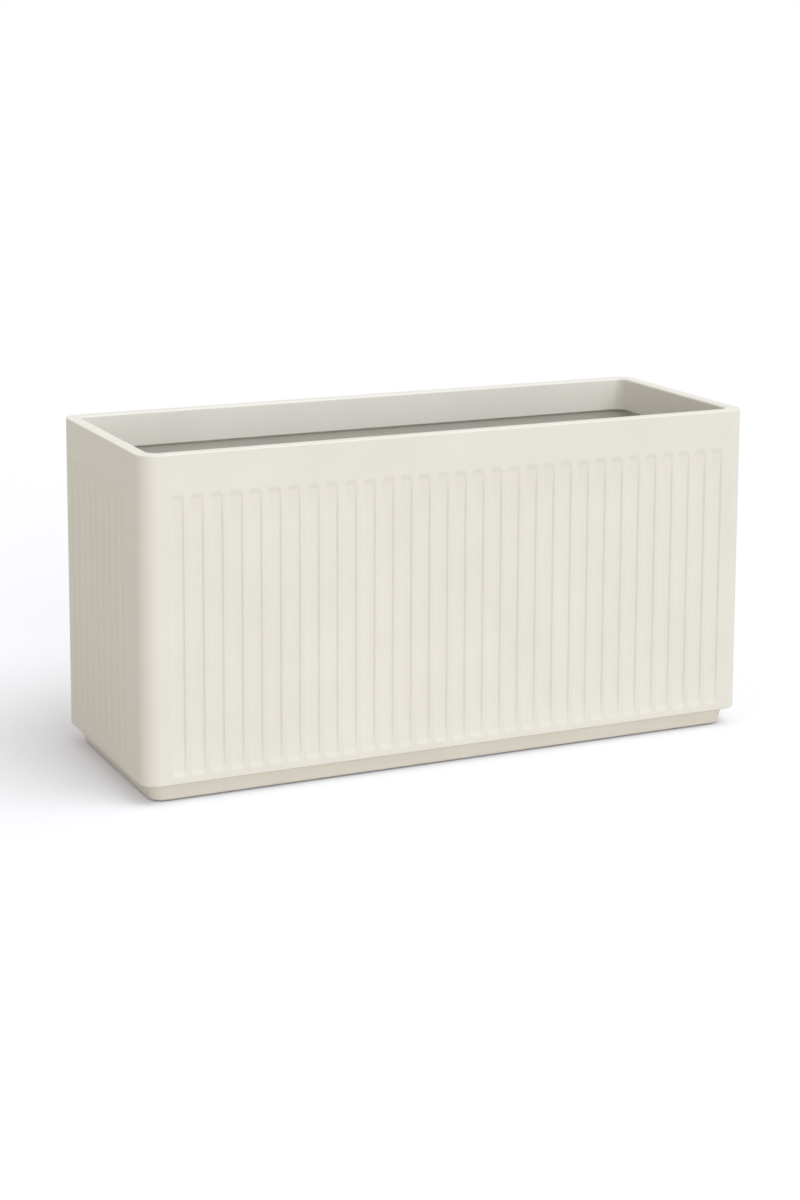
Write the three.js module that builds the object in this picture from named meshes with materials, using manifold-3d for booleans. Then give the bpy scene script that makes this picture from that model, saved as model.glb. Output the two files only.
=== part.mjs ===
// Rectangular fluted planter for the garden or terrace, in millimetres, +Z up.
// The origin is on the ground under the middle of the planter. The long side runs along X,
// and the front faces -Y. A tub with a turned-in rim stands on a recessed plinth frame, which
// is screwed to it from below. Two drainage grids lie on the tub's floor and lift out, and four
// rubber plugs close the drain holes under them.
import * as THREE from 'three'
import { mergeGeometries, mergeVertices } from 'three/addons/utils/BufferGeometryUtils.js'
import Module from 'manifold-3d'

const wasm = await Module()
wasm.setup()

// Tub: outer box, walls and floor
const tubLength = 800
const tubWidth = 300
const tubHeight = 387
const tubCornerRadius = 22
const tubEdgeRadius = 1.5
const wallThickness = 5
const floorThickness = 5

// Rim of the tub: it turns inwards at the top, and a lip hangs down from it
const rimWidth = 17
const rimThickness = 4
const lipDepth = 43
const lipThickness = 3.5
const mouthCornerRadius = 12

// Flutes: shallow upright channels with sloped sides and round ends. On the short sides they
// lie nearer to the back.
const longFluteCount = 31
const shortFluteCount = 9
const fluteWidth = 18
const fluteSlope = 3
const fluteDepth = 2
const plainBandAbove = 46.5
const plainBandBelow = 9
const plainEndLong = 34
const plainEndFront = 62
const plainEndBack = 30

// Plinth frame: a wall that tapers to its foot, a flange turned inwards there, and webs across
const plinthInset = 10
const plinthTaper = 5
const plinthHeight = 22
const plinthCornerRadius = 22
const plinthWall = 4
const flangeThickness = 4
const flangeWidth = 28
const webThickness = 5

// Bays along the plinth: a web stands between two bays, and each bay has a drain hole in its
// middle and a screw at each side
const bayCount = 4
const bayEndInset = 20

// Foot pads: rubber discs let into the underside of the flange
const padRadius = 10
const padStand = 1.5
const padRecess = 1
const padEndInset = 55

// Screws: countersunk, up through the flange into pillars under the tub's floor
const screwRadius = 2
const screwHeadRadius = 4
const screwHeadHeight = 2.2
const screwLength = 18
const screwTipLength = 4
const screwTipRadius = 0.5
const screwHeadDepth = 0.4
const screwTipRoom = 1
const pillarRadius = 6

// Drain holes and their plugs
const drainRadius = 12
const plugFlangeRadius = 17
const plugFlangeThickness = 3
const plugReach = 2
const plugTaper = 1
const plugTabLength = 18
const plugTabThickness = 4
const plugTabHeight = 7

// Drainage grids: slotted plates with a turned-down edge and a rib, on legs
const gridLegHeight = 32
const gridThickness = 3
const gridSideGap = 4
const gridEdgeHeight = 8
const gridEdgeThickness = 3
const gridSlotLength = 34
const gridSlotWidth = 6
const gridSlotColumns = 14
const gridSlotRows = 5
const gridSlotMargin = 26
const gridHoleLength = 60
const gridHoleWidth = 26
const gridLegRadius = 5
const gridLegInset = 13
const gridRibThickness = 3

// Clearances, how far a cutter runs past a face, how far joined solids lap, and the number of
// steps that round shapes are made in
const clearance = 0.3
const passClearance = 4
const cutOverrun = 1
const weld = 0.01
const cornerSteps = 7
const tubEdgeSteps = 2
const fluteSteps = 2
const roundSides = 16
const screwSides = 10

// Levels and places that follow from the sizes
const bayLength = (tubLength - 2 * bayEndInset) / bayCount
const plinthBottom = padStand
const tubBottom = plinthBottom + plinthHeight
const tubTop = tubBottom + tubHeight
const floorTop = tubBottom + floorThickness
const flangeTop = plinthBottom + flangeThickness
const rimUnderside = tubTop - rimThickness
const lipBottom = tubTop - lipDepth
const longPitch = (tubLength - 2 * plainEndLong - fluteWidth) / (longFluteCount - 1)
const shortPitch = (tubWidth - plainEndFront - plainEndBack - fluteWidth) / (shortFluteCount - 1)
const shortFluteShift = (plainEndFront - plainEndBack) / 2
const mouthLength = tubLength - 2 * rimWidth
const mouthWidth = tubWidth - 2 * rimWidth
const footInset = plinthInset + plinthTaper
const flangeMiddle = footInset + plinthWall + (flangeWidth - plinthWall) / 2
const screwRowY = tubWidth / 2 - flangeMiddle
const screwEndX = tubLength / 2 - flangeMiddle

// Surface finishes
const tubFinish = new THREE.MeshStandardMaterial({ color: 0xe6e3d8, roughness: 0.55, metalness: 0 })
const plinthFinish = new THREE.MeshStandardMaterial({ color: 0xdad5c8, roughness: 0.6, metalness: 0 })
const gridFinish = new THREE.MeshStandardMaterial({ color: 0x4a4a46, roughness: 0.65, metalness: 0 })
const rubberFinish = new THREE.MeshStandardMaterial({ color: 0x2b2b2a, roughness: 0.85, metalness: 0 })
const steelFinish = new THREE.MeshStandardMaterial({ color: 0xb8bbbd, roughness: 0.3, metalness: 1 })

const planter = new THREE.Group()

// Turns a closed three.js geometry into a solid that can be joined and cut
function toSolid(geometry) {
  const bare = geometry.clone()
  bare.deleteAttribute('normal')
  bare.deleteAttribute('uv')
  const welded = mergeVertices(bare)
  const mesh = new wasm.Mesh({
    numProp: 3,
    vertProperties: new Float32Array(welded.attributes.position.array),
    triVerts: new Uint32Array(welded.index.array),
  })
  return new wasm.Manifold(mesh)
}

// Turns a solid back into a geometry
function toGeometry(solid) {
  const mesh = solid.getMesh()
  const geometry = new THREE.BufferGeometry()
  geometry.setAttribute('position', new THREE.BufferAttribute(mesh.vertProperties, 3))
  geometry.setIndex(new THREE.BufferAttribute(mesh.triVerts, 1))
  geometry.computeVertexNormals()
  return geometry
}

// Adds one named piece to the planter
function addPiece(name, geometry, finish) {
  const piece = new THREE.Mesh(geometry, finish)
  piece.name = name
  planter.add(piece)
  return piece
}

// Outline of a rectangle with round corners, centred on the origin
function roundedRectangle(length, width, radius, steps = cornerSteps) {
  const points = []
  for (let corner = 0; corner < 4; corner += 1) {
    const signX = corner === 0 || corner === 3 ? 1 : -1
    const signY = corner < 2 ? 1 : -1
    const middle = new THREE.Vector2(signX * (length / 2 - radius), signY * (width / 2 - radius))
    for (let i = 0; i <= steps; i += 1) {
      const turn = (corner + i / steps) * (Math.PI / 2)
      const point = new THREE.Vector2(Math.cos(turn), Math.sin(turn)).multiplyScalar(radius).add(middle)
      if (points.every((other) => other.distanceTo(point) > weld)) points.push(point)
    }
  }
  return new THREE.Shape(points)
}

// A plain upright block of an outline, from one level to another
function block(outline, from, to) {
  const geometry = new THREE.ExtrudeGeometry(outline, { depth: to - from, bevelEnabled: false })
  geometry.translate(0, 0, from)
  return toSolid(geometry)
}

// A block whose top and bottom edges are rounded inside its outline
function roundedBlock(outline, from, to, edgeRadius, edgeSteps) {
  const geometry = new THREE.ExtrudeGeometry(outline, {
    depth: to - from - 2 * edgeRadius,
    bevelThickness: edgeRadius,
    bevelSize: edgeRadius,
    bevelOffset: -edgeRadius,
    bevelSegments: edgeSteps,
  })
  geometry.translate(0, 0, from + edgeRadius)
  return toSolid(geometry)
}

// A block that is smaller at its foot than at its top, and runs on above its top
function taperedBlock(outline, from, to, taper) {
  const height = to - from
  const geometry = new THREE.ExtrudeGeometry(outline, {
    depth: cutOverrun,
    bevelThickness: height,
    bevelSize: taper,
    bevelOffset: -taper,
    bevelSegments: 1,
  })
  geometry.translate(0, 0, to)
  return toSolid(geometry)
}

// An upright round bar or cone from one level to another
function bar(x, y, from, to, lowRadius, highRadius = lowRadius, sides = roundSides) {
  const geometry = new THREE.CylinderGeometry(highRadius, lowRadius, to - from, sides)
  geometry.rotateX(Math.PI / 2)
  geometry.translate(x, y, (from + to) / 2)
  return toSolid(geometry)
}

// A box between two corners
function box(low, high) {
  const geometry = new THREE.BoxGeometry(high[0] - low[0], high[1] - low[1], high[2] - low[2])
  geometry.translate((low[0] + high[0]) / 2, (low[1] + high[1]) / 2, (low[2] + high[2]) / 2)
  return toSolid(geometry)
}

// Places of a row of things, evenly spaced about the middle
function evenRow(count, spacing) {
  return Array.from({ length: count }, (_, i) => (i - (count - 1) / 2) * spacing)
}

// One flute as a cutter: its floor is at the flute's depth behind z = 0, its mouth is in front
function fluteCutter() {
  const top = tubTop - plainBandAbove
  const bottom = tubBottom + plainBandBelow
  const outline = roundedRectangle(fluteWidth, top - bottom, fluteWidth / 2, fluteSteps)
  const cutter = new THREE.ExtrudeGeometry(outline, {
    depth: fluteDepth,
    bevelThickness: fluteDepth,
    bevelSize: fluteSlope,
    bevelOffset: -fluteSlope,
    bevelSegments: 1,
  })
  cutter.translate(0, (top + bottom) / 2, 0)
  cutter.rotateX(Math.PI / 2)
  return cutter
}

// The cutters of one side of the tub, turned to face that side
function fluteField(count, pitch, shift, faceDistance, turn) {
  const cutters = evenRow(count, pitch).map((x) => {
    const cutter = fluteCutter()
    cutter.translate(x + shift, -faceDistance, 0)
    cutter.rotateZ(turn)
    return cutter
  })
  return toSolid(mergeGeometries(cutters))
}

// Screw places: a row along each long side, and one in the middle of each end
function screwPlaces() {
  const places = []
  for (const side of [-1, 1]) {
    for (const x of evenRow(bayCount, bayLength)) {
      places.push([x, side * screwRowY])
    }
    places.push([side * screwEndX, 0])
  }
  return places
}

// Foot pad places: the corners and the middle of each long side
function padPlaces() {
  const places = []
  const endX = tubLength / 2 - padEndInset
  for (const side of [-1, 1]) {
    for (const x of [-endX, 0, endX]) {
      places.push([x, side * screwRowY])
    }
  }
  return places
}

// Drain places along the middle of the floor
function drainPlaces() {
  return evenRow(bayCount, bayLength)
}

// Cutter that takes the sharp inner edge off the rim
function mouthChamfer(mouth) {
  const geometry = new THREE.ExtrudeGeometry(mouth, {
    depth: tubEdgeRadius,
    bevelThickness: tubEdgeRadius,
    bevelSize: tubEdgeRadius,
    bevelSegments: 1,
  })
  geometry.translate(0, 0, tubTop)
  return toSolid(geometry)
}

function tub() {
  const outline = roundedRectangle(tubLength, tubWidth, tubCornerRadius)
  const innerLength = tubLength - 2 * wallThickness
  const innerWidth = tubWidth - 2 * wallThickness
  const inner = roundedRectangle(innerLength, innerWidth, tubCornerRadius - wallThickness)
  const lipInset = rimWidth - lipThickness
  const lipOuter = roundedRectangle(tubLength - 2 * lipInset, tubWidth - 2 * lipInset,
    mouthCornerRadius + lipThickness)
  const mouth = roundedRectangle(mouthLength, mouthWidth, mouthCornerRadius)

  let body = roundedBlock(outline, tubBottom, tubTop, tubEdgeRadius, tubEdgeSteps)
  body = body.subtract(block(inner, floorTop, rimUnderside))
  body = body.add(block(lipOuter, lipBottom, rimUnderside + weld))
  body = body.subtract(block(mouth, lipBottom - cutOverrun, tubTop + cutOverrun))
  body = body.subtract(mouthChamfer(mouth))

  for (const side of [-1, 1]) {
    const longTurn = side < 0 ? 0 : Math.PI
    const shortTurn = side * (Math.PI / 2)
    const shift = side * shortFluteShift
    body = body.subtract(fluteField(longFluteCount, longPitch, 0, tubWidth / 2, longTurn))
    body = body.subtract(fluteField(shortFluteCount, shortPitch, shift, tubLength / 2, shortTurn))
  }

  const pillarFoot = flangeTop + clearance
  const holeTop = plinthBottom + screwHeadDepth + screwLength + screwTipRoom
  for (const [x, y] of screwPlaces()) {
    body = body.add(bar(x, y, pillarFoot, tubBottom + weld, pillarRadius))
    body = body.subtract(bar(x, y, pillarFoot - cutOverrun, holeTop, screwRadius + clearance))
  }
  for (const x of drainPlaces()) {
    body = body.subtract(bar(x, 0, tubBottom - cutOverrun, floorTop + cutOverrun, drainRadius))
  }
  return toGeometry(body)
}

function plinthFrame() {
  const length = tubLength - 2 * plinthInset
  const width = tubWidth - 2 * plinthInset
  const outline = roundedRectangle(length, width, plinthCornerRadius)
  const wellLength = length - 2 * plinthWall
  const wellWidth = width - 2 * plinthWall
  const well = roundedRectangle(wellLength, wellWidth, plinthCornerRadius - plinthWall)
  const windowLength = tubLength - 2 * (footInset + flangeWidth)
  const windowWidth = tubWidth - 2 * (footInset + flangeWidth)
  const window = roundedRectangle(windowLength, windowWidth, plinthWall)

  let hollow = taperedBlock(well, plinthBottom, tubBottom, plinthTaper)
  hollow = hollow.trimByPlane([0, 0, 1], flangeTop)
  hollow = hollow.add(block(window, plinthBottom - cutOverrun, flangeTop + cutOverrun))
  const webFoot = plinthBottom - 2 * cutOverrun
  const webTop = tubBottom + plinthHeight + 2 * cutOverrun
  for (const x of evenRow(bayCount - 1, bayLength)) {
    const halfWeb = webThickness / 2
    hollow = hollow.subtract(box([x - halfWeb, -width, webFoot], [x + halfWeb, width, webTop]))
  }
  const shell = taperedBlock(outline, plinthBottom, tubBottom, plinthTaper)
  let frame = shell.trimByPlane([0, 0, -1], -tubBottom).subtract(hollow)

  const cutFoot = plinthBottom - cutOverrun
  const headFoot = plinthBottom + screwHeadDepth
  const headTop = headFoot + screwHeadHeight
  const headHole = screwHeadRadius + clearance
  const shankHole = screwRadius + clearance
  for (const [x, y] of screwPlaces()) {
    frame = frame.subtract(bar(x, y, cutFoot, headFoot, headHole))
    frame = frame.subtract(bar(x, y, headFoot, headTop, headHole, shankHole))
    frame = frame.subtract(bar(x, y, headTop - weld, flangeTop + cutOverrun, shankHole))
  }
  for (const [x, y] of padPlaces()) {
    frame = frame.subtract(bar(x, y, cutFoot, plinthBottom + padRecess, padRadius + clearance))
  }
  return toGeometry(frame)
}

function screw() {
  const headTop = screwHeadHeight
  const tipFoot = screwLength - screwTipLength
  let body = bar(0, 0, 0, headTop, screwHeadRadius, screwRadius, screwSides)
  body = body.add(bar(0, 0, headTop - weld, tipFoot, screwRadius, screwRadius, screwSides))
  body = body.add(bar(0, 0, tipFoot - weld, screwLength, screwRadius, screwTipRadius, screwSides))
  return toGeometry(body)
}

function footPad() {
  return toGeometry(bar(0, 0, 0, padStand + padRecess, padRadius))
}

function drainPlug() {
  const shank = bar(0, 0, -floorThickness - plugReach, 0, drainRadius - clearance - plugTaper,
    drainRadius - clearance)
  const flange = bar(0, 0, 0, plugFlangeThickness, plugFlangeRadius)
  const halfLength = plugTabLength / 2
  const halfThickness = plugTabThickness / 2
  const tab = box([-halfLength, -halfThickness, plugFlangeThickness - weld],
    [halfLength, halfThickness, plugFlangeThickness + plugTabHeight])
  return toGeometry(shank.add(flange).add(tab))
}

// Size of one of the two grids: side by side, they pass through the mouth of the tub
function gridSize() {
  return {
    length: (mouthLength - gridSideGap) / 2 - passClearance,
    width: mouthWidth - 2 * passClearance,
    radius: mouthCornerRadius - passClearance,
  }
}

// Cutters for the slots of a grid's plate, and for the finger hole over each drain plug
function gridHoles(from, to) {
  const holes = []
  const { length: gridLength, width: gridWidth } = gridSize()
  const pitchAlong = (gridLength - 2 * gridSlotMargin) / (gridSlotColumns - 1)
  const pitchAcross = (gridWidth - 2 * gridSlotMargin - gridSlotLength) / (gridSlotRows - 1)
  const cut = (x, y, alongX, alongY) => {
    const hole = new THREE.BoxGeometry(alongX, alongY, to - from)
    hole.translate(x, y, (from + to) / 2)
    holes.push(hole)
  }
  const fingerHoles = evenRow(bayCount / 2, bayLength)
  fingerHoles.forEach((x) => cut(x, 0, gridHoleLength, gridHoleWidth))
  for (const x of evenRow(gridSlotColumns, pitchAlong)) {
    for (const y of evenRow(gridSlotRows, pitchAcross)) {
      const besideHole = fingerHoles.some((h) => Math.abs(x - h) < gridHoleLength / 2 + gridSlotWidth)
      const meetsHole = besideHole && Math.abs(y) < (gridHoleWidth + gridSlotLength) / 2
      const meetsRib = Math.abs(x) < (gridRibThickness + gridSlotWidth) / 2
      if (!meetsHole && !meetsRib) cut(x, y, gridSlotWidth, gridSlotLength)
    }
  }
  return toSolid(mergeGeometries(holes))
}

// One drainage grid, centred on its own middle, with z = 0 at the foot of its legs
function drainageGrid() {
  const { length, width, radius } = gridSize()
  const top = gridLegHeight + gridThickness
  const edgeFoot = top - gridEdgeHeight
  const outline = roundedRectangle(length, width, radius)
  const inside = roundedRectangle(length - 2 * gridEdgeThickness, width - 2 * gridEdgeThickness,
    radius - gridEdgeThickness)
  let grid = block(outline, edgeFoot, top)
  grid = grid.subtract(block(inside, edgeFoot - cutOverrun, gridLegHeight))
  grid = grid.subtract(gridHoles(gridLegHeight - cutOverrun, top + cutOverrun))

  const ribHalf = gridRibThickness / 2
  const ribReach = width / 2 - gridEdgeThickness / 2
  grid = grid.add(box([-ribHalf, -ribReach, edgeFoot], [ribHalf, ribReach, gridLegHeight + weld]))

  const legX = length / 2 - gridLegInset
  const legY = width / 2 - gridLegInset
  for (const x of [-legX, 0, legX]) {
    for (const y of [-legY, legY]) {
      grid = grid.add(bar(x, y, 0, gridLegHeight + weld, gridLegRadius))
    }
  }
  return toGeometry(grid)
}

addPiece('planter_tub', tub(), tubFinish)
addPiece('plinth_frame', plinthFrame(), plinthFinish)

screwPlaces().forEach(([x, y], i) => {
  const piece = addPiece(`plinth_screw_${i + 1}`, screw(), steelFinish)
  piece.position.set(x, y, plinthBottom + screwHeadDepth)
})

padPlaces().forEach(([x, y], i) => {
  const piece = addPiece(`foot_pad_${i + 1}`, footPad(), rubberFinish)
  piece.position.set(x, y, 0)
})

const gridNames = ['drainage_grid_left', 'drainage_grid_right']
gridNames.forEach((name, i) => {
  const piece = addPiece(name, drainageGrid(), gridFinish)
  const middle = (gridSize().length + gridSideGap) / 2
  piece.position.set(i === 0 ? -middle : middle, 0, floorTop)
})

drainPlaces().forEach((x, i) => {
  const piece = addPiece(`drain_plug_${i + 1}`, drainPlug(), rubberFinish)
  piece.position.set(x, 0, floorTop)
})

export default planter
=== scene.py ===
import math

import bmesh
import bpy
import numpy as np
from mathutils import Matrix, Vector
from mathutils.geometry import delaunay_2d_cdt


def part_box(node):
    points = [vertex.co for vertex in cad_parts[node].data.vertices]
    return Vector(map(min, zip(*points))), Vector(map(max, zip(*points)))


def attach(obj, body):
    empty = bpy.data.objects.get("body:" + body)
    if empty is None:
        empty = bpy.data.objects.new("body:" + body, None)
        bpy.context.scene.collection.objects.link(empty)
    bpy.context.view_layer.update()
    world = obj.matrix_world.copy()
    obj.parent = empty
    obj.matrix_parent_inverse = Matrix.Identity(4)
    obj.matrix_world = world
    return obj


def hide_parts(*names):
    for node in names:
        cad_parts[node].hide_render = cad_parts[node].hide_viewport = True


# Rectangular fluted planter. Every shape is worked out in millimetres, around the boxes of the
# loaded frame, and becomes metres where its mesh is made.
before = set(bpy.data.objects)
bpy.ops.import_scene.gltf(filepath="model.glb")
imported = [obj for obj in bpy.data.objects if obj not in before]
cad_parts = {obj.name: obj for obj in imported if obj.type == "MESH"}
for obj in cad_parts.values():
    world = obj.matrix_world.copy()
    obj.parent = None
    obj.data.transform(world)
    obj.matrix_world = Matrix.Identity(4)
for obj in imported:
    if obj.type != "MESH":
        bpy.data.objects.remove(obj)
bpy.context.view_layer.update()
metre = 1000  # millimetres
print("frame loaded")


# A CAD node's lowest and highest corners, in millimetres
def nodeBox(name):
    low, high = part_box(name)
    return np.array(low) * metre, np.array(high) * metre


# The number that ends a CAD node's name
def nodeNumber(name):
    return int(name.split("_")[-1])


# Numbered CAD nodes, such as all the screws: each one's name, and its middle seen from above
def nodeMiddles(prefix):
    names = sorted((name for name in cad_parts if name.startswith(prefix)), key=nodeNumber)
    return [(name, np.mean(nodeBox(name), axis=0)[:2]) for name in names]


# Part of a circle in a profile: centre plus radius times cosine and sine of the turn.
# In a profile that is carried round a path, 0 degrees points inwards, 90 up and 180 outwards.
def roundEdge(inset, height, radius, fromTurn, toTurn, steps=4):
    turn = np.radians(np.linspace(fromTurn, toTurn, steps + 1))
    return np.column_stack([inset + radius * np.cos(turn), height + radius * np.sin(turn)])


# Stations round a rounded rectangle, anticlockwise from the front left: each is a point on the
# core rectangle that joins the corner centres, with the outward direction there. A point of the
# outline is its core point plus the direction times the corner radius.
def pathAround(length, width, radius, alongX=None, alongY=None, cornerSteps=10, middle=(0, 0)):
    halfX, halfY = length / 2 - radius, width / 2 - radius
    alongX = np.array([-halfX, halfX]) if alongX is None else alongX
    alongY = np.array([-halfY, halfY]) if alongY is None else alongY
    cores, directions = [], []
    for quarter in range(4):
        heading = math.radians(90 * quarter - 90)
        outward = np.round([math.cos(heading), math.sin(heading)])
        along = (alongX, alongY)[quarter % 2]
        along = along if quarter < 2 else along[::-1]
        columns = [along, np.full(len(along), halfY * outward[1])]
        if quarter % 2:
            columns = [np.full(len(along), halfX * outward[0]), along]
        core = np.column_stack(columns)
        turn = heading + np.linspace(0, math.pi / 2, cornerSteps + 1)[1:-1]
        cores += [core, np.tile(core[-1], (len(turn), 1))]
        directions += [np.tile(outward, (len(core), 1)),
                       np.column_stack([np.cos(turn), np.sin(turn)])]
    return np.concatenate(cores) + np.array(middle), np.concatenate(directions)


# A profile of (inset, height) carried round a path: core point plus outward direction times the
# radius less the inset, less a dent that may differ at every point
def carried(profile, path, radius, dent=0.0):
    core, outward = path
    reach = radius - profile[:, :1] - dent
    ground = core[None] + reach[..., None] * outward[None]
    height = np.broadcast_to(profile[:, 1:2], ground.shape[:2])
    return np.dstack([ground, height])


# A profile of (radius, height) turned about an upright axis. A factor for every row and side
# makes lobes or a thread.
def turned(profile, middle, sides, factor=1.0):
    turn = np.arange(sides) * 2 * math.pi / sides
    radius = profile[:, :1] * np.broadcast_to(factor, (len(profile), sides))
    height = np.broadcast_to(profile[:, 1:2], radius.shape)
    return np.dstack([middle[0] + radius * np.cos(turn), middle[1] + radius * np.sin(turn), height])


# A cosine wave that rises from 0 to 1 and falls back in each full turn
def swell(angle):
    return 0.5 - 0.5 * np.cos(angle)


# Faces of a grid of points whose columns join up: corners (i, j), (i, j+1), (i+1, j+1), (i+1, j)
def skin(points):
    rows, columns = points.shape[:2]
    i, j = np.meshgrid(np.arange(rows - 1), np.arange(columns), indexing="ij")
    following = (j + 1) % columns
    row, nextRow = i * columns, (i + 1) * columns
    corners = [row + j, row + following, nextRow + following, nextRow + j]
    return points.reshape(-1, 3), np.stack(corners, -1).reshape(-1, 4)


# Which points lie inside a loop: a ray to the right crosses it an odd number of times
def insideLoop(points, loop):
    x, y = points[:, :1], points[:, 1:2]
    startX, startY = loop.T
    endX, endY = np.roll(loop, -1, axis=0).T
    rise = np.where(endY == startY, 1.0, endY - startY)
    meets = x < startX + (endX - startX) * (y - startY) / rise
    return (((startY > y) != (endY > y)) & meets).sum(1) % 2 == 1


# A level face inside the first loop and outside the others, cut into triangles
def levelFace(loops, height):
    loops = [loop[:, :2] for loop in loops]
    edges, start = [], 0
    for loop in loops:
        order = np.arange(len(loop))
        edges.append(np.column_stack([order, np.roll(order, -1)]) + start)
        start += len(loop)
    corners = [Vector(point) for point in np.concatenate(loops)]
    insideOnly = 1  # the kind of result without the faces outside the first loop
    mergeWithin = 1e-5  # millimetres
    result = delaunay_2d_cdt(corners, np.concatenate(edges).tolist(), [], insideOnly, mergeWithin)
    points = np.array([(corner.x, corner.y, height) for corner in result[0]])
    triangles = np.array(result[2])
    middles = points[triangles, :2].mean(1)
    loopsAround = sum(insideLoop(middles, loop).astype(int) for loop in loops)
    return points, triangles[loopsAround == 1]


# A closed block: an outline between a rounded lower edge and a rounded upper edge
def roundedBlock(path, radius, low, high, edge, steps=3):
    profile = np.concatenate([
        roundEdge(edge, low + edge, edge, 270, 180, steps),
        roundEdge(edge, high - edge, edge, 180, 90, steps),
    ])
    points = carried(profile, path, radius)
    return [skin(points), levelFace([points[0]], low), levelFace([points[-1]], high)]


weldWithin = 2e-6  # metres
creaseFrom = 40  # degrees between two faces that keep a sharp edge


# One object from several surfaces, welded where they meet, with its faces pointing out
def makePiece(name, surfaces, material, body, node):
    vertices, faces, start = [], [], 0
    for points, corners in surfaces:
        vertices.append(points)
        faces += (corners + start).tolist()
        start += len(points)
    mesh = bpy.data.meshes.new(name)
    mesh.from_pydata((np.concatenate(vertices) / metre).tolist(), [], faces)
    shell = bmesh.new()
    shell.from_mesh(mesh)
    bmesh.ops.remove_doubles(shell, verts=shell.verts, dist=weldWithin)
    bmesh.ops.recalc_face_normals(shell, faces=shell.faces)
    shell.to_mesh(mesh)
    shell.free()
    mesh.polygons.foreach_set("use_smooth", np.ones(len(mesh.polygons), bool))
    mesh.set_sharp_from_angle(angle=math.radians(creaseFrom))
    mesh.materials.append(material)
    piece = bpy.data.objects.new(name, mesh)
    bpy.context.scene.collection.objects.link(piece)
    flatFirst = piece.modifiers.new("flatFirst", "WEIGHTED_NORMAL")
    flatFirst.keep_sharp = True
    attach(piece, body)
    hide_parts(node)


# An sRGB hex value as a linear colour: a channel is divided by 12.92 where it is dark, and
# otherwise raised to the power of 2.4 after a small shift
def linear(hexValue):
    channels = np.array([int(hexValue[i:i + 2], 16) for i in (0, 2, 4)]) / 255
    low, high = channels / 12.92, ((channels + 0.055) / 1.055) ** 2.4
    return (*np.where(channels <= 0.04045, low, high), 1.0)


# Adds one node: settings are input values, properties or the stops of a ramp, links are sockets
def addNode(tree, kind, settings=None, links=None):
    node = tree.nodes.new(kind)
    for key, value in (settings or {}).items():
        if key == "stops":
            for element, (position, hexValue) in zip(node.color_ramp.elements, value):
                element.position = position
                element.color = linear(hexValue)
        elif key in node.inputs:
            node.inputs[key].default_value = value
        else:
            setattr(node, key, value)
    for key, socket in (links or {}).items():
        tree.links.new(socket, node.inputs[key])
    return node


# An empty node material with its output
def newMaterial(name):
    material = bpy.data.materials.new(name)
    material.use_nodes = True
    material.node_tree.nodes.clear()
    output = addNode(material.node_tree, "ShaderNodeOutputMaterial")
    return material, material.node_tree, output


# Most of a noise texture lies between these two values, so they end the ramps that follow it
noiseLow, noiseHigh = 0.3, 0.7


# Injection-moulded polypropylene or rubber. The eye sees a soft highlight broken by the fine
# grain of the spark-eroded mould, faint clouds where the melt cooled unevenly, and a roughness
# that drifts with them. Real grain is about 0.2 mm and is drawn coarser, so that it shows.
def mouldedSkin(name, look):
    material, tree, output = newMaterial(name)
    place = addNode(tree, "ShaderNodeTexCoord").outputs["Object"]
    clouds = addNode(tree, "ShaderNodeTexNoise", {"Scale": metre / look["cloudSize"],
                                                  "Detail": 4.0, "Roughness": 0.55},
                     {"Vector": place})
    stops = [(noiseLow, look["darker"]), (noiseHigh, look["lighter"])]
    tone = addNode(tree, "ShaderNodeValToRGB", {"stops": stops}, {"Fac": clouds.outputs["Fac"]})
    matt = addNode(tree, "ShaderNodeMapRange", {"From Min": noiseLow, "From Max": noiseHigh,
                                                "To Min": look["roughness"] - look["drift"],
                                                "To Max": look["roughness"] + look["drift"]},
                   {"Value": clouds.outputs["Fac"]})
    grain = addNode(tree, "ShaderNodeTexNoise", {"Scale": metre / look["grainSize"], "Detail": 2.0},
                    {"Vector": place})
    relief = addNode(tree, "ShaderNodeBump", {"Strength": look["grainStrength"],
                                              "Distance": look["grainHeight"] / metre},
                     {"Height": grain.outputs["Fac"]})
    shader = addNode(tree, "ShaderNodeBsdfPrincipled", {"IOR": look["ior"]},
                     {"Base Color": tone.outputs["Color"], "Roughness": matt.outputs["Result"],
                      "Normal": relief.outputs["Normal"]})
    tree.links.new(shader.outputs["BSDF"], output.inputs["Surface"])
    return material


# Stainless screw steel, cold headed and thread rolled: bright, with drawn streaks along the axis
def headedSteel(name, look):
    material, tree, output = newMaterial(name)
    place = addNode(tree, "ShaderNodeTexCoord").outputs["Object"]
    stretched = addNode(tree, "ShaderNodeMapping", {"Scale": (1.0, 1.0, look["streakRatio"])},
                        {"Vector": place})
    streaks = addNode(tree, "ShaderNodeTexNoise", {"Scale": metre / look["streakSize"],
                                                   "Detail": 3.0},
                      {"Vector": stretched.outputs["Vector"]})
    stops = [(noiseLow, look["darker"]), (noiseHigh, look["lighter"])]
    tone = addNode(tree, "ShaderNodeValToRGB", {"stops": stops}, {"Fac": streaks.outputs["Fac"]})
    matt = addNode(tree, "ShaderNodeMapRange", {"To Min": look["roughness"] - look["drift"],
                                                "To Max": look["roughness"] + look["drift"]},
                   {"Value": streaks.outputs["Fac"]})
    shader = addNode(tree, "ShaderNodeBsdfPrincipled", {"Metallic": 1.0},
                     {"Base Color": tone.outputs["Color"], "Roughness": matt.outputs["Result"]})
    tree.links.new(shader.outputs["BSDF"], output.inputs["Surface"])
    return material


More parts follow.
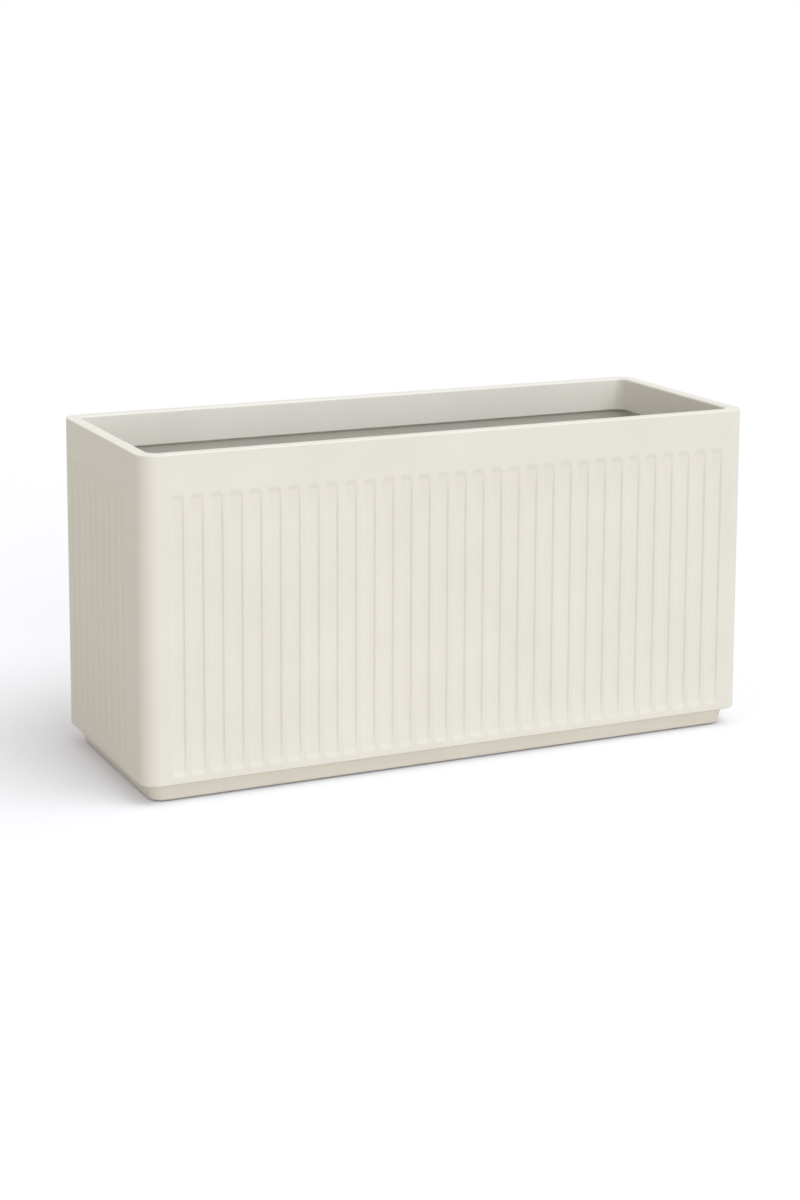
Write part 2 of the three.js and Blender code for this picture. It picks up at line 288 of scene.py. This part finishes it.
# Sizes of clouds, grain and streaks are in millimetres
ivoryPlastic = mouldedSkin("ivoryMouldedPolypropylene", {
    "lighter": "e9e7e0", "darker": "e5e3dc", "cloudSize": 90, "roughness": 0.5, "drift": 0.04,
    "grainSize": 1.6, "grainStrength": 0.25, "grainHeight": 0.12, "ior": 1.49})
# The plinth is moulded in the tub's ivory plastic. This copy is painted lighter than the tub's:
# painted light that makes up for the shade under the tub's overhang.
plinthIvoryPaintedLighter = mouldedSkin("ivoryMouldedPolypropylenePaintedLighterPlinth", {
    "lighter": "f0ede4", "darker": "ebe8de", "cloudSize": 70, "roughness": 0.55, "drift": 0.04,
    "grainSize": 1.6, "grainStrength": 0.3, "grainHeight": 0.12, "ior": 1.49})
gridPlastic = mouldedSkin("greyMouldedRegrindPolypropylene", {
    "lighter": "4f4f4b", "darker": "42423f", "cloudSize": 30, "roughness": 0.6, "drift": 0.06,
    "grainSize": 1.2, "grainStrength": 0.4, "grainHeight": 0.12, "ior": 1.49})
blackRubber = mouldedSkin("blackPressedRubber", {
    "lighter": "30302e", "darker": "242423", "cloudSize": 8, "roughness": 0.78, "drift": 0.08,
    "grainSize": 0.8, "grainStrength": 0.5, "grainHeight": 0.1, "ior": 1.52})
screwSteel = headedSteel("stainlessHeadedSteel", {
    "lighter": "d6d8da", "darker": "b4b7ba", "streakSize": 0.6, "streakRatio": 0.15,
    "roughness": 0.3, "drift": 0.08})
print("materials made")

# Tub: a moulded shell with flutes outside and a lip that hangs inside its rim
tubShape = {
    "cornerRadius": 22, "cornerSteps": 14, "edgeRadius": 1.5, "wall": 5, "floor": 5,
    "rimWidth": 17, "rimThickness": 4, "rimFillet": 1.5, "floorFillet": 4,
    "lipDepth": 43, "lipThickness": 3.5, "mouthRadius": 12, "mouthEdge": 2.5,
    "fluteWidth": 18, "fluteDepth": 2, "fluteSlope": 3, "slopeColumns": 5,
    "longCount": 31, "endLong": 34,  # flutes of a long side, and the plain ends beside them
    "shortCount": 9, "endFront": 62, "endBack": 30,
    "bandAbove": 45, "bandBelow": 7,  # from the top and the bottom to the flutes' tips
    "tipSlope": 8.5, "tipShare": 0.45, "fadeRun": 40, "endRows": 14,  # the soft ends of a flute
    "drainRadius": 12, "drainEdge": 0.6, "drainSides": 48,
    "pillarRadius": 6, "pillarRoot": 1, "pillarEdge": 0.4, "pillarSides": 24,
    "pilotRadius": 2.3, "pilotRoom": 1,
}


# Middles of the flutes across a side, evenly spaced between its two plain ends
def fluteMiddles(side, startEnd, stopEnd, count):
    half = tubShape["fluteWidth"] / 2
    return np.linspace(startEnd + half - side / 2, side / 2 - stopEnd - half, count)


# Places across a side: its ends, and at each flute both slopes and the flute's floor between them
def fluteStations(centres, halfSide):
    half, slope = tubShape["fluteWidth"] / 2, tubShape["fluteSlope"]
    slopeSide = np.linspace(half - slope, half, tubShape["slopeColumns"])
    floorSide = [-(half - slope) / 2, 0, (half - slope) / 2]
    offsets = np.concatenate([-slopeSide[::-1], floorSide, slopeSide])
    return np.concatenate([[-halfSide], (centres[:, None] + offsets[None]).ravel(), [halfSide]])


# How far the wall is let in at each height and place: nothing outside the round-ended outline,
# the full depth inside its slope, and a smooth step t * t * (3 - 2t) between. The slope grows
# towards the tips with the square of the sine of the direction there. A flute has a share of its
# depth at its tips, and the rest comes in with the same smooth step of the height.
def fluteDent(places, centres, heights, foot, head):
    shape = tubShape
    half, slope = shape["fluteWidth"] / 2, shape["fluteSlope"]
    across = np.abs(places[:, None] - centres[None]).min(1)
    beyond = np.maximum(0, np.maximum(foot + half - heights, heights - head + half))[:, None]
    aboveZero = 1e-6
    distance = np.maximum(np.hypot(across[None], beyond), aboveZero)
    slopeThere = slope + (shape["tipSlope"] - slope) * (beyond / distance) ** 2
    share = np.clip((half - distance) / slopeThere, 0, 1)
    fromEnd = np.minimum(heights - foot, head - heights)[:, None]
    fade = np.clip(fromEnd / shape["fadeRun"], 0, 1)
    depthShare = shape["tipShare"] + (1 - shape["tipShare"]) * fade ** 2 * (3 - 2 * fade)
    return shape["fluteDepth"] * share ** 2 * (3 - 2 * share) * depthShare


# Profiles of the shell: the outer wall up to the rim, with a row at each of the heights, then the
# mouth with its lip, from the rim down and up again behind it, and the inner wall to the floor
def tubProfiles(heights, bottom, top):
    shape = tubShape
    edge, mouthEdge = shape["edgeRadius"], shape["mouthEdge"]
    lip, lipFoot = shape["lipThickness"], top - shape["lipDepth"]
    fillet, underRim = shape["rimFillet"], top - shape["rimThickness"]
    floorFillet, floorTop = shape["floorFillet"], bottom + shape["floor"]
    lowerEdge = roundEdge(edge, bottom + edge, edge, 270, 180)
    wall = np.column_stack([np.zeros(len(heights)), heights])
    outer = np.concatenate([lowerEdge, wall, roundEdge(edge, top - edge, edge, 180, 90)])
    mouth = np.concatenate([
        roundEdge(-mouthEdge, top - mouthEdge, mouthEdge, 90, 0),
        roundEdge(-lip / 2, lipFoot + lip / 2, lip / 2, 0, -180, steps=6),
        roundEdge(-lip - fillet, underRim - fillet, fillet, 0, 90, steps=3),
    ])
    inner = np.concatenate([
        roundEdge(fillet, underRim - fillet, fillet, 90, 180, steps=3),
        roundEdge(floorFillet, floorTop + floorFillet, floorFillet, 180, 270),
    ])
    return outer, len(lowerEdge), mouth, inner


# The whole shell as one grid of points, from the edge under the outer wall to the inner floor.
# The outer wall, the mouth and the inner wall have as many stations, so their rows join up.
def tubShell(length, width, bottom, top):
    shape = tubShape
    radius = shape["cornerRadius"]
    foot, head = bottom + shape["bandBelow"], top - shape["bandAbove"]
    longMiddles = fluteMiddles(length, shape["endLong"], shape["endLong"], shape["longCount"])
    shortMiddles = fluteMiddles(width, shape["endFront"], shape["endBack"], shape["shortCount"])
    alongX = fluteStations(longMiddles, length / 2 - radius)
    alongY = fluteStations(shortMiddles, width / 2 - radius)

    def pathAt(inset, corner):
        shareX = (length / 2 - inset - corner) / (length / 2 - radius)
        shareY = (width / 2 - inset - corner) / (width / 2 - radius)
        return pathAround(length - 2 * inset, width - 2 * inset, corner, alongX * shareX,
                          alongY * shareY, shape["cornerSteps"])

    # Rows of the outer wall lie closer together where the flutes end
    endRise = shape["fadeRun"] * np.linspace(0, 1, shape["endRows"] + 1) ** 2
    heights = np.concatenate([foot + endRise, head - endRise[::-1]])
    outer, wallFrom, mouth, inner = tubProfiles(heights, bottom, top)
    core, outward = pathAt(0, radius)
    onLongSide, onShortSide = np.abs(outward[:, 1]) == 1, np.abs(outward[:, 0]) == 1
    longDent = fluteDent(core[:, 0], longMiddles, heights, foot, head) * onLongSide
    shortDent = fluteDent(core[:, 1], shortMiddles, heights, foot, head) * onShortSide
    dent = np.zeros((len(outer), len(core)))
    dent[wallFrom:wallFrom + len(heights)] = longDent + shortDent
    innerRadius = radius - shape["wall"]
    return np.concatenate([
        carried(outer, (core, outward), radius, dent),
        carried(mouth, pathAt(shape["rimWidth"], shape["mouthRadius"]), shape["mouthRadius"]),
        carried(inner, pathAt(shape["wall"], innerRadius), innerRadius),
    ])


# A drain hole through the floor: a round wall between two broken edges
def drainHole(middle, bottom, floorTop):
    radius, edge = tubShape["drainRadius"], tubShape["drainEdge"]
    profile = np.array([(radius + edge, bottom), (radius, bottom + edge),
                        (radius, floorTop - edge), (radius + edge, floorTop)])
    return turned(profile, middle, tubShape["drainSides"])


# A pillar that hangs under the floor, from its rounded root to its foot and up its pilot hole,
# which leaves some room over the tip of the screw
def screwPillar(screwName, middle, bottom, foot):
    shape = tubShape
    radius, root, edge = shape["pillarRadius"], shape["pillarRoot"], shape["pillarEdge"]
    pilot, pilotTop = shape["pilotRadius"], nodeBox(screwName)[1][2] + shape["pilotRoom"]
    profile = np.concatenate([
        roundEdge(radius + root, bottom - root, root, 90, 180, steps=3),
        [(radius, foot + edge), (radius - edge, foot)],
        [(pilot + edge, foot), (pilot, foot + edge), (pilot, pilotTop), (0, pilotTop)],
    ])
    return turned(profile, middle, shape["pillarSides"])


def makeTub():
    low, high = nodeBox("planter_tub")
    length, width = (high - low)[:2]
    bottom = nodeBox("plinth_frame")[1][2]
    floorTop = bottom + tubShape["floor"]
    shell = tubShell(length, width, bottom, high[2])
    drains = [drainHole(middle, bottom, floorTop) for _, middle in nodeMiddles("drain_plug_")]
    pillars = [screwPillar(name, middle, bottom, low[2])
               for name, middle in nodeMiddles("plinth_screw_")]
    underLoops = [points[0] for points in [shell] + drains + pillars]
    floorLoops = [points[-1] for points in [shell] + drains]
    surfaces = [skin(points) for points in [shell] + drains + pillars]
    surfaces += [levelFace(underLoops, bottom), levelFace(floorLoops, floorTop)]
    makePiece("planterTub", surfaces, ivoryPlastic, "planter", "planter_tub")


makeTub()
print("tub made")

# Plinth: a recessed wall that tapers to its foot, a flange turned inwards, and webs across
plinthShape = {
    "cornerRadius": 22, "cornerSteps": 14, "footRadius": 3, "taper": 5, "wall": 4,
    "flange": 4, "flangeWidth": 28, "edge": 0.5, "wellFillet": 1.5, "windowRadius": 4,
    "contactGap": 0.05,  # under the tub
    "web": 5, "webEdge": 0.8, "webLift": 0.3, "webBite": 1,
    "headHole": 4.3, "headSink": 0.4, "headHeight": 2.2, "shankHole": 2.3, "holeSides": 32,
    "padHole": 10.3, "padDepth": 1, "padSides": 48,
}


# How far the wall leans in at a height: nothing at its top, and the whole taper at its foot
def plinthLean(height):
    low, high = nodeBox("plinth_frame")
    return plinthShape["taper"] * (high[2] - height) / (high[2] - low[2])


# A web across the frame, whose ends lean with the long walls and bite a little into them
def plinthWeb(place, width, bottom, top):
    shape = plinthShape
    edge = shape["webEdge"]
    span = width - 2 * (shape["taper"] + shape["wall"]) + 2 * shape["webBite"]
    path = pathAround(shape["web"], span, edge, cornerSteps=3, middle=(place, 0))
    web = roundedBlock(path, edge, bottom + shape["webLift"], top, edge)
    for points, _ in web:
        points[:, 1] += np.sign(points[:, 1]) * (shape["taper"] - plinthLean(points[:, 2]))
    return web


def makePlinth():
    shape = plinthShape
    low, high = nodeBox("plinth_frame")
    length, width = (high - low)[:2]
    bottom, top = low[2], high[2] - shape["contactGap"]
    flangeTop = bottom + shape["flange"]
    radius, edge, fillet = shape["cornerRadius"], shape["edge"], shape["wellFillet"]
    thickness, foot = shape["wall"], shape["footRadius"]
    wallProfile = np.concatenate([
        roundEdge(thickness + plinthLean(flangeTop) + fillet, flangeTop + fillet, fillet,
                  270, 180, steps=3),
        roundEdge(thickness - edge, top - edge, edge, 0, 90, steps=2),
        roundEdge(edge, top - edge, edge, 90, 180, steps=2),
        roundEdge(plinthLean(bottom + foot) + foot, bottom + foot, foot, 180, 270, steps=5),
    ])
    wallPath = pathAround(length, width, radius, cornerSteps=shape["cornerSteps"])
    wall = carried(wallProfile, wallPath, radius)
    inset = 2 * (shape["taper"] + shape["flangeWidth"])
    windowProfile = np.concatenate([
        roundEdge(-edge, bottom + edge, edge, 270, 360, steps=2),
        roundEdge(-edge, flangeTop - edge, edge, 0, 90, steps=2),
    ])
    windowPath = pathAround(length - inset, width - inset, shape["windowRadius"], cornerSteps=6)
    window = carried(windowProfile, windowPath, shape["windowRadius"])

    # The flange takes the countersunk screws, and the foot pads are let into it
    sink, padTop = bottom + shape["headSink"], bottom + shape["padDepth"]
    head, shank = shape["headHole"], shape["shankHole"]
    screwProfile = np.array([(head, bottom), (head, sink), (shank, sink + shape["headHeight"]),
                             (shank, flangeTop)])
    padProfile = np.array([(shape["padHole"], bottom), (shape["padHole"], padTop), (0, padTop)])
    screwHoles = [turned(screwProfile, middle, shape["holeSides"])
                  for _, middle in nodeMiddles("plinth_screw_")]
    padHoles = [turned(padProfile, middle, shape["padSides"])
                for _, middle in nodeMiddles("foot_pad_")]
    underLoops = [wall[-1], window[0]] + [hole[0] for hole in screwHoles + padHoles]
    flangeLoops = [wall[0], window[-1]] + [hole[-1] for hole in screwHoles]
    surfaces = [skin(points) for points in [wall, window] + screwHoles + padHoles]
    surfaces += [levelFace(underLoops, bottom), levelFace(flangeLoops, flangeTop)]

    # A web stands half way between two drain plugs
    plugs = [middle[0] for _, middle in nodeMiddles("drain_plug_")]
    for left, right in zip(plugs, plugs[1:]):
        surfaces += plinthWeb((left + right) / 2, width, bottom, top)
    # The plinth wears the lighter copy of the ivory, which is painted light for the shade under the
    # tub.
    makePiece("plinthFrame", surfaces, plinthIvoryPaintedLighter, "planter", "plinth_frame")


makePlinth()
print("plinth made")

# Screws: countersunk head with a six-lobed drive, and a rolled thread up to the point. Head,
# shank, drive and tip are radii, and the shares are of the drive's and the tip's radius.
screwShape = {
    "head": 4, "headHeight": 2.2, "headEdge": 0.25, "shank": 2, "sides": 36,
    "drive": 1.5, "driveDepth": 1.3, "driveFloorShare": 0.9, "driveBevel": 0.3,
    "lobes": 6, "lobeShare": 0.14,
    "thread": 1.5, "threadShare": 0.17, "threadFrom": 4, "threadEnd": 0.2, "rowsPerTurn": 8,
    "tip": 0.5, "tipLength": 4, "pointShare": 0.7, "pointHeight": 0.05,
}


# The radius follows cosine waves: the lobes round the drive, and on the shank one wave that
# moves on by one thread for each turn about the axis
def makeScrew(name, middle):
    shape = screwShape
    low, high = nodeBox(name)
    bottom, top = low[2], high[2]
    turn = np.arange(shape["sides"]) * 2 * math.pi / shape["sides"]
    drive, driveFloor = shape["drive"], bottom + shape["driveDepth"]
    face = np.array([(0, driveFloor), (drive * shape["driveFloorShare"], driveFloor),
                     (drive, driveFloor - shape["driveBevel"]), (drive, bottom)])
    lobes = 1 + shape["lobeShare"] * np.cos(shape["lobes"] * turn)
    head, headEdge = shape["head"], shape["headEdge"]
    rim = np.array([(head - headEdge, bottom), (head, bottom + headEdge),
                    (shape["shank"], bottom + shape["headHeight"])])
    levels = np.arange(bottom + shape["threadFrom"], top - shape["threadEnd"],
                       shape["thread"] / shape["rowsPerTurn"])
    narrowing = np.clip((top - levels) / shape["tipLength"], 0, 1)
    shankRadius = shape["tip"] + (shape["shank"] - shape["tip"]) * narrowing
    angle = 2 * math.pi * levels[:, None] / shape["thread"] - turn[None]
    point = np.array([(shape["tip"] * shape["pointShare"], top - shape["pointHeight"]), (0, top)])
    profile = np.concatenate([face, rim, np.column_stack([shankRadius, levels]), point])
    factor = np.ones((len(profile), shape["sides"]))
    factor[:len(face)] = lobes
    factor[len(face) + len(rim):-len(point)] = 1 - shape["threadShare"] * swell(angle)
    surfaces = [skin(turned(profile, middle, shape["sides"], factor))]
    pieceName = f"plinthScrew{nodeNumber(name)}"
    makePiece(pieceName, surfaces, screwSteel, "planter", name)


for name, middle in nodeMiddles("plinth_screw_"):
    makeScrew(name, middle)
print("screws made")

# Foot pads: rubber discs with ring grooves underneath, which grip the ground
padShape = {
    "edge": 0.5, "sides": 48,
    "grooves": 3, "grooveDepth": 0.4, "grooveFrom": 1.5, "grooveTo": 8.5, "grooveRows": 8,
}


# The underside rises and falls with a cosine wave of the radius, once for each groove
def makePad(name, middle):
    shape = padShape
    low, high = nodeBox(name)
    radius, edge = (high[0] - low[0]) / 2, shape["edge"]
    start, stop = shape["grooveFrom"], shape["grooveTo"]
    rings = np.linspace(start, stop, shape["grooves"] * shape["grooveRows"] + 1)
    turns = shape["grooves"] * (rings - start) / (stop - start)
    grooves = low[2] + shape["grooveDepth"] * swell(2 * math.pi * turns)
    profile = np.concatenate([
        [(0, low[2])],
        np.column_stack([rings, grooves]),
        roundEdge(radius - edge, low[2] + edge, edge, -90, 0, steps=3),
        roundEdge(radius - edge, high[2] - edge, edge, 0, 90, steps=3),
        [(0, high[2])],
    ])
    surfaces = [skin(turned(profile, middle, shape["sides"]))]
    makePiece(f"footPad{nodeNumber(name)}", surfaces, blackRubber, "planter", name)


for name, middle in nodeMiddles("foot_pad_"):
    makePad(name, middle)
print("foot pads made")

# Drain plugs: a tapered shank in the hole, a round flange over it, and an upright pull tab
plugShape = {
    "shankTop": 11.7, "shankFoot": 10.7, "reach": 7, "shankEdge": 1, "bead": 0.25, "beadHeight": 0.8,
    "flange": 3, "flangeEdge": 1.2, "seatEdge": 0.4, "sides": 64,
    "tabLength": 18, "tabWidth": 4, "tabCorner": 1.9, "tabEdge": 1.5, "tabBite": 0.5,
}


def makePlug(name, middle):
    shape = plugShape
    low, high = nodeBox(name)
    seat = low[2] + shape["reach"]
    flangeTop = seat + shape["flange"]
    flangeRadius = (high[0] - low[0]) / 2
    edge, foot, seatEdge = shape["flangeEdge"], shape["shankEdge"], shape["seatEdge"]
    profile = np.concatenate([
        [(0, low[2])],
        roundEdge(shape["shankFoot"] - foot, low[2] + foot, foot, -90, 0, steps=3),
        [(shape["shankTop"] - shape["bead"], seat - shape["beadHeight"]), (shape["shankTop"], seat)],
        [(flangeRadius - seatEdge, seat), (flangeRadius, seat + seatEdge)],
        roundEdge(flangeRadius - edge, flangeTop - edge, edge, 0, 90),
        [(0, flangeTop)],
    ])
    surfaces = [skin(turned(profile, middle, shape["sides"]))]
    corner, tabFoot = shape["tabCorner"], flangeTop - shape["tabBite"]
    tabPath = pathAround(shape["tabLength"], shape["tabWidth"], corner, cornerSteps=8, middle=middle)
    surfaces += roundedBlock(tabPath, corner, tabFoot, high[2], shape["tabEdge"], steps=5)
    number = nodeNumber(name)
    makePiece(f"drainPlug{number}", surfaces, blackRubber, f"plug_{number}", name)


for name, middle in nodeMiddles("drain_plug_"):
    makePlug(name, middle)
print("drain plugs made")

# Drainage grids: slotted plates with a turned-down edge, a rib and legs
gridShape = {
    "cornerRadius": 8, "plate": 3, "topEdge": 1, "plateFillet": 1,
    "edgeHeight": 8, "edgeThickness": 3, "footEdge": 0.8,
    "slotLength": 34, "slotWidth": 6, "columns": 14, "rows": 5, "margin": 26,
    "holeEdge": 0.6, "fingerLength": 60, "fingerWidth": 26, "fingerRadius": 6,
    "legRadius": 5, "legInset": 13, "legRoot": 1.5, "legEdge": 0.8, "legSides": 32,
    "rib": 3, "ribCorner": 1, "ribEdge": 0.5, "ribBite": 0.5, "ribEnd": 16,
}


# Places of the slots about the middle of a grid: none over a finger hole or the rib
def slotPlaces(length, width, fingers):
    shape = gridShape
    reach = width / 2 - shape["margin"] - shape["slotLength"] / 2
    columns = np.linspace(shape["margin"] - length / 2, length / 2 - shape["margin"],
                          shape["columns"])
    rows = np.linspace(-reach, reach, shape["rows"])
    besideFinger = shape["fingerLength"] / 2 + shape["slotWidth"]
    acrossFinger = (shape["fingerWidth"] + shape["slotLength"]) / 2
    besideRib = (shape["rib"] + shape["slotWidth"]) / 2

    def isFree(x, y):
        besideOne = any(abs(x - finger) < besideFinger for finger in fingers)
        return not (besideOne and abs(y) < acrossFinger) and abs(x) > besideRib

    return [(x, y) for x in columns for y in rows if isFree(x, y)]


# The upper skin, the turned-down edge and the lower skin as far as the flat of the plate
def gridProfile(under, top):
    shape = gridShape
    topEdge, footEdge, fillet = shape["topEdge"], shape["footEdge"], shape["plateFillet"]
    thickness, edgeFoot = shape["edgeThickness"], top - shape["edgeHeight"]
    return np.concatenate([
        roundEdge(topEdge, top - topEdge, topEdge, 90, 180, steps=3),
        roundEdge(footEdge, edgeFoot + footEdge, footEdge, 180, 270, steps=3),
        roundEdge(thickness - footEdge, edgeFoot + footEdge, footEdge, 270, 360, steps=3),
        roundEdge(thickness + fillet, under - fillet, fillet, 180, 90, steps=3),
    ])


# The wall of a hole through the plate, between two broken edges
def gridHole(place, alongX, alongY, radius, under, top):
    edge = gridShape["holeEdge"]
    profile = np.array([(-edge, top), (0, top - edge), (0, under + edge), (-edge, under)])
    path = pathAround(alongX, alongY, radius, cornerSteps=5, middle=place)
    return carried(profile, path, radius)


# A round leg, from its rounded root under the plate to its foot
def gridLeg(place, under, foot):
    shape = gridShape
    root, radius, edge = shape["legRoot"], shape["legRadius"], shape["legEdge"]
    profile = np.concatenate([
        roundEdge(radius + root, under - root, root, 90, 180, steps=4),
        roundEdge(radius - edge, foot + edge, edge, 0, -90, steps=3),
        [(0, foot)],
    ])
    return turned(profile, place, shape["legSides"])


def makeGrid(name, side):
    shape = gridShape
    low, high = nodeBox(name)
    middle = (low + high)[:2] / 2
    length, width = (high - low)[:2]
    foot, top = low[2], high[2]
    under = top - shape["plate"]
    path = pathAround(length, width, shape["cornerRadius"], middle=middle)
    plate = carried(gridProfile(under, top), path, shape["cornerRadius"])

    # The two finger holes stand as far apart as the drain plugs under this grid, to reach them
    plugs = [place[0] - middle[0] for _, place in nodeMiddles("drain_plug_")]
    near = [x for x in plugs if abs(x) < length / 2]
    spread = (near[1] - near[0]) / 2
    fingers = [-spread, spread]
    holes = [gridHole(middle + (x, 0), shape["fingerLength"], shape["fingerWidth"],
                      shape["fingerRadius"], under, top) for x in fingers]
    holes += [gridHole(middle + place, shape["slotWidth"], shape["slotLength"],
                       shape["slotWidth"] / 2, under, top)
              for place in slotPlaces(length, width, fingers)]
    legX, legY = length / 2 - shape["legInset"], width / 2 - shape["legInset"]
    legs = [gridLeg(middle + (x, y), under, foot) for x in (-legX, 0, legX) for y in (-legY, legY)]
    topLoops = [points[0] for points in [plate] + holes]
    underLoops = [plate[-1]] + [hole[-1] for hole in holes] + [leg[0] for leg in legs]
    surfaces = [skin(points) for points in [plate] + holes + legs]
    surfaces += [levelFace(topLoops, top), levelFace(underLoops, under)]

    corner, ribLength = shape["ribCorner"], width - 2 * shape["ribEnd"]
    ribPath = pathAround(shape["rib"], ribLength, corner, cornerSteps=3, middle=middle)
    surfaces += roundedBlock(ribPath, corner, top - shape["edgeHeight"], under + shape["ribBite"],
                             shape["ribEdge"])
    makePiece(f"drainageGrid{side.title()}", surfaces, gridPlastic, f"grid_{side}", name)


for side in ("left", "right"):
    makeGrid(f"drainage_grid_{side}", side)
print("drainage grids made")

# Stage: a white floor, soft light from all round, a high key from the front right and a low fill
# from the front. The floor sends back less light, and warmer, than it shows, as a smaller sheet
# of paper would, and a faint bluish light of its own softens the shadow on it.
stageLook = {
    "floorSize": 60000, "floorShown": "f9fbfe", "floorBounce": "c2bcb1",
    "floorLift": 0.06, "floorLiftColour": "c0c2ff",
    "skyLight": 0.64, "skyColour": "fffaf2", "whiteBackdrop": 1.0,
}
# Broad lamps: the angles in degrees are the turn to the right of the front, the height above
# the ground and the width of the lamp as the planter sees it
highKey = {
    "name": "highKey", "strength": 1.28, "colour": "f6faff", "turn": 38, "height": 60, "spread": 45,
}
lowFill = {
    "name": "lowFill", "strength": 1.06, "colour": "f3f8ff", "turn": 0, "height": 10, "spread": 45,
}


# 1 for camera, glossy and transmission rays, which see the white stage, and 0 for the others
def seenRays(tree):
    rays = addNode(tree, "ShaderNodeLightPath").outputs
    camera = addNode(tree, "ShaderNodeMath", {"operation": "MAXIMUM"},
                     {0: rays["Is Camera Ray"], 1: rays["Is Glossy Ray"]})
    seen = addNode(tree, "ShaderNodeMath", {"operation": "MAXIMUM"},
                   {0: camera.outputs[0], 1: rays["Is Transmission Ray"]})
    return seen.outputs[0]


def makeFloor():
    look = stageLook
    material, tree, output = newMaterial("whiteMattFloor")
    bounce = addNode(tree, "ShaderNodeBsdfDiffuse", {"Color": linear(look["floorBounce"])})
    shown = addNode(tree, "ShaderNodeBsdfDiffuse", {"Color": linear(look["floorShown"])})
    lift = addNode(tree, "ShaderNodeEmission", {"Color": linear(look["floorLiftColour"]),
                                                "Strength": look["floorLift"]})
    lifted = addNode(tree, "ShaderNodeAddShader",
                     links={0: shown.outputs["BSDF"], 1: lift.outputs["Emission"]})
    floorSkin = addNode(tree, "ShaderNodeMixShader", links={0: seenRays(tree),
                                                            1: bounce.outputs["BSDF"],
                                                            2: lifted.outputs["Shader"]})
    tree.links.new(floorSkin.outputs["Shader"], output.inputs["Surface"])
    half = look["floorSize"] / metre / 2
    corners = [(-half, -half, 0), (half, -half, 0), (half, half, 0), (-half, half, 0)]
    mesh = bpy.data.meshes.new("studioFloor")
    mesh.from_pydata(corners, [], [(0, 1, 2, 3)])
    mesh.materials.append(material)
    floor = bpy.data.objects.new("studioFloor", mesh)
    bpy.context.scene.collection.objects.link(floor)


# The sky lights the object at its own level, and the camera, gloss and glass see it white
def makeSky():
    look = stageLook
    world = bpy.data.worlds.new("softDaylight")
    world.use_nodes = True
    tree = world.node_tree
    tree.nodes.clear()
    sky = addNode(tree, "ShaderNodeBackground", {"Color": linear(look["skyColour"]),
                                                 "Strength": look["skyLight"]})
    backdrop = addNode(tree, "ShaderNodeBackground", {"Color": linear("ffffff"),
                                                      "Strength": look["whiteBackdrop"]})
    both = addNode(tree, "ShaderNodeMixShader", links={0: seenRays(tree),
                                                       1: sky.outputs["Background"],
                                                       2: backdrop.outputs["Background"]})
    addNode(tree, "ShaderNodeOutputWorld", links={"Surface": both.outputs["Shader"]})
    bpy.context.scene.world = world


# A lamp's direction is the sine and the negative cosine of its turn, times the cosine of its
# height, and the sine of its height
def makeLamp(look):
    lamp = bpy.data.lights.new(look["name"], "SUN")
    lamp.energy = look["strength"]
    lamp.angle = math.radians(look["spread"])
    lamp.color = linear(look["colour"])[:3]
    holder = bpy.data.objects.new(look["name"], lamp)
    turn, height = math.radians(look["turn"]), math.radians(look["height"])
    level = math.cos(height)
    towards = Vector((math.sin(turn) * level, -math.cos(turn) * level, math.sin(height)))
    holder.rotation_euler = towards.to_track_quat("Z", "Y").to_euler()
    bpy.context.scene.collection.objects.link(holder)


makeFloor()
makeSky()
makeLamp(highKey)
makeLamp(lowFill)
print("stage made")

# Camera: its place in millimetres and its heading in degrees come from a fit to the photograph's
# edges. The focal length and the rise of the picture are in pixels of an 800 by 1200 picture,
# the width of the sensor is in millimetres, and the camera sees as far as its sight in metres.
cameraFit = {
    "place": (-1240.9, -2665.6, 913.4), "yaw": 24.775, "pitch": 8.95, "roll": 0.212,
    "focal": 2399.1, "rise": 219.4, "pictureHeight": 1200, "sensor": 36, "sight": 200,
}


# Forward looks along yaw from +Y and down by the pitch, and the roll turns right and up about it
def makeCamera():
    fit = cameraFit
    yaw, pitch, roll = (math.radians(fit[key]) for key in ("yaw", "pitch", "roll"))
    level = math.cos(pitch)
    forward = Vector((math.sin(yaw) * level, math.cos(yaw) * level, -math.sin(pitch)))
    levelRight = Vector((math.cos(yaw), -math.sin(yaw), 0))
    levelUp = levelRight.cross(forward)
    right = math.cos(roll) * levelRight + math.sin(roll) * levelUp
    up = math.cos(roll) * levelUp - math.sin(roll) * levelRight
    camera = bpy.data.cameras.new("photoCamera")
    camera.sensor_width = fit["sensor"]
    camera.lens = fit["focal"] / fit["pictureHeight"] * fit["sensor"]
    camera.shift_y = -fit["rise"] / fit["pictureHeight"]
    camera.clip_end = fit["sight"]
    holder = bpy.data.objects.new("photoCamera", camera)
    axes = Matrix((right, up, -forward)).transposed().to_4x4()
    holder.matrix_world = Matrix.Translation(Vector(fit["place"]) / metre) @ axes
    bpy.context.scene.collection.objects.link(holder)
    bpy.context.scene.camera = holder


makeCamera()
bpy.context.scene.view_settings.view_transform = "Standard"
print("camera set")
